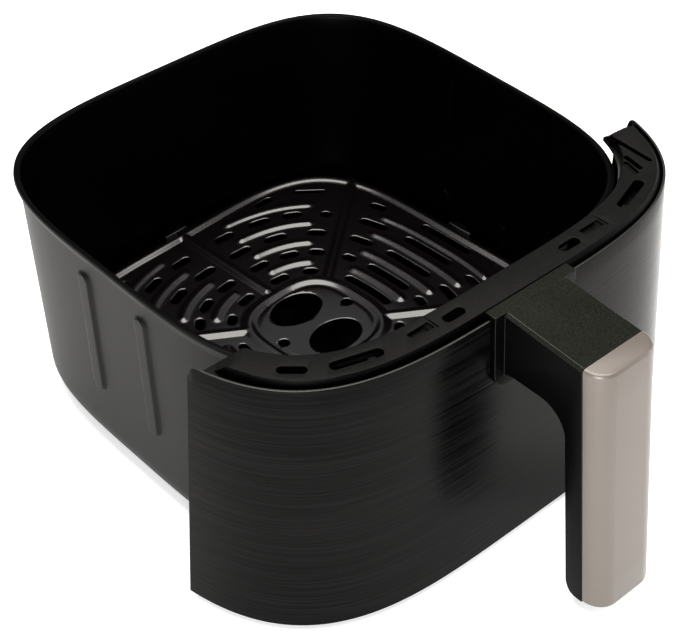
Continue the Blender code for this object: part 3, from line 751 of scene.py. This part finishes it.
def sweep(section, count, shift=0.0):
    """Carries a closed section along the front; section(u) gives (a, b, power, z, end) spots."""
    bm = bmesh.new()
    spot = bm.verts.layers.int.new("spot")
    ring = bmesh.ops.create_circle(bm, segments=len(section(0)), radius=1)["verts"]
    edges = list(bm.edges)
    for i, v in enumerate(ring):
        v[spot] = i
    bmesh.ops.contextual_create(bm, geom=edges)
    for step in range(count + 1):
        if step:
            ring, edges, _ = grow(bm, edges)
        spots = section(step / count)
        for v in ring:
            a, b, power, z, end = spots[v[spot]]
            v.co = front_spot(a, b, power, end, step / count) + Vector((0, 0, z))
    bmesh.ops.contextual_create(bm, geom=edges)
    return bm


def slot_cutter(bm, x, y, length, width, turn, low, high):
    """Adds a slot with round ends, standing from low to high."""
    ring = bmesh.ops.create_circle(bm, segments=28, radius=width / 2)["verts"]
    for v in ring:
        v.co.x += math.copysign((length - width) / 2, v.co.x)
    edges = list({e for v in ring for e in v.link_edges})
    face = bmesh.ops.contextual_create(bm, geom=edges)["faces"]
    both = ring + extrude(bm, face, (0, 0, high - low))
    bmesh.ops.rotate(bm, verts=both, matrix=Matrix.Rotation(math.radians(turn), 3, "Z"))
    bmesh.ops.translate(bm, verts=both, vec=(x, y, low))


def block(bm, low, high):
    """Adds a box between two corners."""
    verts = bmesh.ops.create_cube(bm, size=1)["verts"]
    low, high = Vector(low), Vector(high)
    bmesh.ops.scale(bm, verts=verts, vec=high - low)
    bmesh.ops.translate(bm, verts=verts, vec=(low + high) / 2)
    return verts


# %% Collar
rim_top = rim_z / mm
collar_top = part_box("collar")[1][2] / mm
collar_power = 4.0
collar_out = Vector((132.3, 135.0))
collar_in = Vector((121.1, 121.1))
lip_edge = pan_half + Vector((0.8, 0.8))


def collar_section(u):
    """The collar's section, from the inner lip over the top and back underneath."""
    a, b = collar_out
    c, d = collar_in
    e, f = lip_edge
    low, under = rim_top + 3.9, collar_top - 2.2
    flank = min(max((u - 0.45) / 0.1, 0), 1)          # the outer wall leans out on the right half
    spots = [(e, f, rim_top + 1.7, 81), (e + 0.02, f + 0.3, rim_top + 3.8, 82),
             (e + 0.1, f + 1.3, under, 84), (e + 0.4, f + 2.0, collar_top - 0.9, 85.5),
             (c - 0.1, d - 0.2, collar_top - 0.25, 87), (c + 0.9, d + 0.8, collar_top, 87.6),
             (a - 0.7, b - 0.7, collar_top, 91), (a - 0.25, b - 0.25, collar_top - 0.15, 90.5),
             (a - 0.05, b - 0.05, collar_top - 0.5, 90),
             (a + 0.2 + 3.2 * flank, b + 0.2 + 1.4 * flank, low + 0.4 * flank, 85),
             (a - 1.6, b - 1.6, low, 84), (a - 1.8, b - 1.8, under, 84.2),
             (c + 2, d + 2, under, 84.2), (e + 2.0, f + 2.4, rim_top + 1.7, 81)]
    if u > 0.5:
        spots = [(x, y, z, 78.5 if end < 83 else 82 + (end - 81) * 0.3) for x, y, z, end in spots]
    return [(x, y, collar_power, z, end) for x, y, z, end in spots]


collar = piece(sweep(collar_section, 200), "collar_cover", "drawer", node="collar")

# Each slot: place, length, width and its turn in degrees.
through_slots = ((-107, -109.3, 12.6, 4.6, -42), (-83.4, -121.6, 24, 5.2, -17),
                 (-35.2, -128, 11.8, 5, 0), (35.2, -128, 11.8, 5, 0),
                 (83.4, -121.3, 23.5, 5.2, 18), (102.9, -106.0, 12.4, 2.7, 80),
                 (110.5, -97.5, 27, 2.6, 88))
above = collar_top + 2
clip_x, clip_y = (-52, 52), -126.2
cuts = bmesh.new()
for x, y, length, width, turn in through_slots:
    slot_cutter(cuts, x, y, length, width, turn, collar_top - 6, above)
slot_cutter(cuts, 98.6, -107.8, 11.0, 3.6, 76, collar_top - 1.4, above)
for x in clip_x:
    block(cuts, (x - 6.6, clip_y - 2.2, collar_top - 3), (x + 5.4, clip_y + 2.2, above))
    block(cuts, (x + 6.3, clip_y - 3.2, collar_top - 1.4), (x + 7.1, clip_y + 2.6, above))
    block(cuts, (x + 6.5, clip_y + 2.0, collar_top - 0.4), (x + 6.9, clip_y + 5.6, above))
block(cuts, (122.5, -86.0, collar_top - 1.6), (126.5, -80, above))
carve(collar, cuts, soften=0.25)
paint(collar, matte_black, painted_shade_satin)
# Faces on the outer wall or leaning away from the top take the darker copy: painted shade on the
# collar's sides.
for face in collar.data.polygons:
    x, y = ((face.center - middle) / mm).xy
    outer_wall = math.hypot(x, y) > reach(*collar_out, collar_power, math.atan2(y, x)) - 0.1
    face.material_index = 1 if outer_wall or face.normal.z < 0.55 else 0

# %% [markdown]
# Two of the slots have a small tab left standing inside, and a dark plate closes two openings in
# front from below. Each pocket holds a snap clip: a sunk shelf with a wedge at its end. The clips
# are their own small mouldings.

# %% Slot tabs and clips
tabs = bmesh.new()
for x, y, turn in ((-78.2, -125.2, -17), (74.6, -125.6, 18)):
    verts = block(tabs, (-1.7, -1.2, collar_top - 2.4), (1.7, 1.4, collar_top - 0.7))
    bmesh.ops.rotate(tabs, verts=verts, matrix=Matrix.Rotation(math.radians(turn), 3, "Z"))
    bmesh.ops.translate(tabs, verts=verts, vec=(x, y, 0))
round_edges(tabs, list(tabs.edges), 0.3, 2)
for x in (-20.4, 20.4):
    block(tabs, (x - 4.5, -132.4, rim_top + 4), (x + 4.5, -126.4, collar_top - 2.1))
paint(piece(tabs, "slot_tabs", "drawer"), matte_black)

for hand, x in zip(("left", "right"), clip_x):
    low, shelf, high = collar_top - 2.2, collar_top - 1.3, collar_top - 0.2
    side = [(x - 6.3, low), (x + 5.1, low), (x + 5.1, high), (x + 3.2, high),
            (x + 1.8, shelf), (x - 6.3, shelf)]
    bm = pulled([Vector((across, clip_y - 1.9, z)) for across, z in side], (0, 3.8, 0))
    round_edges(bm, list(bm.edges), 0.2, 2)
    # The clips take the darker copy: painted shade in their sunk pockets.
    paint(piece(bm, f"clip_{hand}", "drawer", node=f"collar_clip_{hand}"), painted_shade_satin)

# %% [markdown]
# ## Front panel
#
# The front is a brushed sheet bent round the drawer, a little wider at its foot, with rounded top
# corners and a U-shaped notch where the handle's flange sits. It is swept like the collar, and
# its brush lines are a finish: noise stretched far along the sheet and tight across it.

# %% Front panel
skin_low, skin_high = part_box("fascia_skin")
front_low, front_top = skin_low[2] / mm, skin_high[2] / mm
front_power, front_end = 3.7, 77.2
skin_corner, skin_thick = 5.0, 1.2
front_half = Vector((138.9, 139.2))
front_flare = Vector((6.9, 9.2))


def front_reach(z, inset=0.0):
    """Half width and half depth of the front at a height."""
    return front_half + front_flare * (front_top - z) / (front_top - front_low) - Vector((inset, inset))


def skin_section(u):
    back_y = front_spot(*front_half, front_power, front_end, u).y
    nearness = max(min(front_end + back_y, 0) + skin_corner, 0)
    top = front_top - skin_corner + math.sqrt(max(skin_corner ** 2 - nearness ** 2, 0))
    heights = [front_low + 0.3] + [front_low + (top - front_low) * k / 12 for k in range(1, 12)]
    outer = [(0, z) for z in heights] + [(0, top - 0.5), (0.12, top - 0.12), (0.5, top)]
    inner = [(1.0, top - 0.1), (skin_thick, top - 0.4)]
    inner += [(skin_thick, z) for z in reversed(heights[1:])]
    inner += [(skin_thick, front_low), (0.3, front_low)]
    return [(*front_reach(z, inset), front_power, z, front_end) for inset, z in outer + inner]


skin = piece(sweep(skin_section, 260), "front_panel", "drawer", node="fascia_skin")
cuts = bmesh.new()
flange_half, flange_low, flange_corner = 24.5, rim_top - 30.0, 9.0


def u_outline(bm, grow_by, top, y):
    """Face with the flange's U shape, standing across Y."""
    ring = bmesh.ops.create_circle(bm, segments=40, radius=flange_corner)["verts"]
    half, low = flange_half + grow_by, flange_low - grow_by
    for v in ring:
        x, z = v.co.xy
        v.co = Vector((x + math.copysign(half - flange_corner, x), y,
                       low + flange_corner + z if z < 0 else top))
    edges = list({e for v in ring for e in v.link_edges})
    return bmesh.ops.contextual_create(bm, geom=edges)["faces"]


extrude(cuts, u_outline(cuts, 0.35, front_top + 6, -125), (0, -30, 0))
carve(skin, cuts)
skin.data.set_sharp_from_angle(angle=math.radians(35))
paint(skin, brushed, painted_edge_highlight)
# Up-facing faces along the top edge and the notch's bottom take the lighter finish: a painted highlight
# along the sheet's edge.
for face in skin.data.polygons:
    if face.normal.z > 0.6:
        face.material_index = 1

# %% [markdown]
# ## Handle
#
# The handle is two mouldings: a black one with flange, neck and grip core, and a champagne cover
# snapped over the grip. The neck and grip are one side view pulled to the neck's width; the
# flange is a curved plate with the notch's outline. They are joined, then every sharp edge is
# rounded, so the corner where neck meets flange gets the small fillet a mould needs. Joining
# leaves a few doubled points, which are merged last.

# %% Handle body
neck_half = 18.8
neck_top = rim_top + 7.2
neck_under = neck_top - 29.5
grip_front, grip_thick, grip_lean = 184.2, 9.8, 15.9
grip_top, grip_low = rim_top + 5.9, 5.3


def leaning(z):
    return grip_lean * (grip_top - z) / (grip_top - grip_low)


def joined(first, second):
    """Adds a closed body to a piece for good."""
    join = first.modifiers.new("join", "BOOLEAN")
    join.operation, join.solver, join.object = "UNION", "EXACT", second
    bake(first)
    bpy.data.objects.remove(second)


bend = 16                                            # radius under the neck, down to the grip
grip_back = grip_front - grip_thick
bend_centre = grip_back + leaning(neck_under - bend) - bend
root, tail = front_reach(flange_low).y, grip_back + leaning(grip_low)
side_view = [(root + 0.9, neck_under - 3.2), (root + 3.0, neck_under - 0.9)]
side_view += [(root + 6.5, neck_under)]
side_view += [(bend_centre + bend * math.sin(t), neck_under - bend + bend * math.cos(t))
              for t in (math.pi / 2 * k / 14 for k in range(15))]
side_view += [(grip_back + leaning(grip_low + 6), grip_low + 6), (tail + 0.6, grip_low + 3.0),
              (tail + 2.2, grip_low + 1.0), (tail + 4.6, grip_low + 0.1), (tail + 7, grip_low)]
side_view += [(grip_front - 0.4 + leaning(grip_low), grip_low), (grip_front - 0.4, grip_top),
              (front_reach(front_top).y - 3, collar_top)]
bm = pulled([Vector((-neck_half, -y, z)) for y, z in side_view], (2 * neck_half, 0, 0))
long_top = [e for e in bm.edges if all(v.co.z > grip_top - 0.1 for v in e.verts) and
            abs(e.verts[0].co.x - e.verts[1].co.x) < 1]
round_edges(bm, long_top, 1.3, 1)
handle = piece(bm, "handle_shell", "drawer", node="handle_body")

# %% Flange, and one body of both
bm = bmesh.new()
extrude(bm, u_outline(bm, 0, collar_top, -130), (0, -20, 0))
for k in range(1, 16):
    bmesh.ops.bisect_plane(bm, geom=bm.verts[:] + bm.edges[:] + bm.faces[:],
                           plane_co=(0, 0, flange_low + k * 2.5), plane_no=(0, 0, 1))
for v in bm.verts:
    v.co.y = -front_reach(min(v.co.z, front_top)).y + (0.9 if v.co.y > -135 else -2.4)
    if v.co.z > collar_top - 3.5 and v.co.y > -front_reach(front_top).y:
        v.co.y = -front_reach(front_top).y + 3.6
flange = piece(bm, "flange", "drawer")
joined(handle, flange)
rounded_slot = 2                                     # the rounded edges' glossier copy, lighter as a painted highlight
soften_edges(handle, 0.5, 3, 34).material = rounded_slot
paint(handle, handle_black, painted_shade_satin, edge_highlight_black)
bake(handle)
same_point = 0.002 * mm
bm = bmesh.new()
bm.from_mesh(handle.data)
bmesh.ops.remove_doubles(bm, verts=bm.verts, dist=same_point)
bmesh.ops.dissolve_degenerate(bm, edges=bm.edges, dist=same_point)
bm.to_mesh(handle.data)
bm.free()
handle.data.set_sharp_from_angle(angle=math.radians(50))
# Upward faces on the grip's top keep the lighter black; all others take the darker copy: painted shade
# on the handle's sides.
for face in handle.data.polygons:
    if face.material_index < rounded_slot:
        on_top = face.normal.z > 0.3 and face.center.z > middle.z + (grip_top - 1) * mm
        face.material_index = 0 if on_top else 1
print("handle", len(handle.data.polygons), "faces")

# %% Grip cover
bm = bmesh.new()
shape = bm.verts.layers.float_vector.new("shape")
ring = bmesh.ops.create_circle(bm, segments=64, radius=1)["verts"]
edges = list(bm.edges)
for v in ring:
    v[shape] = v.co
bmesh.ops.contextual_create(bm, geom=edges)
cover_half, cover_deep, corner = neck_half - 0.1, 10.6, 10.2
levels = [(grip_low, 1.5), (grip_low + 0.25, 0.8), (grip_low + 0.8, 0.2), (grip_low + 1.6, 0)]
levels += [(grip_low + 1.6 + (grip_top - grip_low - 3.2) * k / 8, 0) for k in range(1, 8)]
levels += [(grip_top - 1.6, 0), (grip_top - 1.0, 0.12), (grip_top - 0.5, 0.45),
           (grip_top - 0.15, 1.0), (grip_top, 1.7)]
for i, (z, inset) in enumerate(levels):
    if i:
        ring, edges, _ = grow(bm, edges)
    for v in ring:
        x, y = v[shape].xy
        r = corner - inset
        out = cover_deep - corner + r * max(-y, 0) if y < 0 else 0
        v.co = Vector((math.copysign(cover_half - corner, x) + r * x,
                       -(grip_front + leaning(z) + out), z))
bmesh.ops.contextual_create(bm, geom=edges)
bmesh.ops.dissolve_degenerate(bm, dist=0.01, edges=bm.edges)
cover = piece(bm, "grip_cover", "drawer", node="handle_inlay", smooth=50)
paint(cover, champagne)

# %% [markdown]
# ## Parts that stay as they are
#
# The carrier behind the front, the pan's bracket and the screws keep their CAD meshes: they are
# hidden or plain. They get finishes like the rest.

# %% Finishes for the hidden parts
for name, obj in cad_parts.items():
    if name == "fascia_carrier":
        paint(obj, gloss_black)
        print(name, "painted")
    elif "screw" in name or "bracket" in name:
        paint(obj, zinc)
        print(name, "painted")
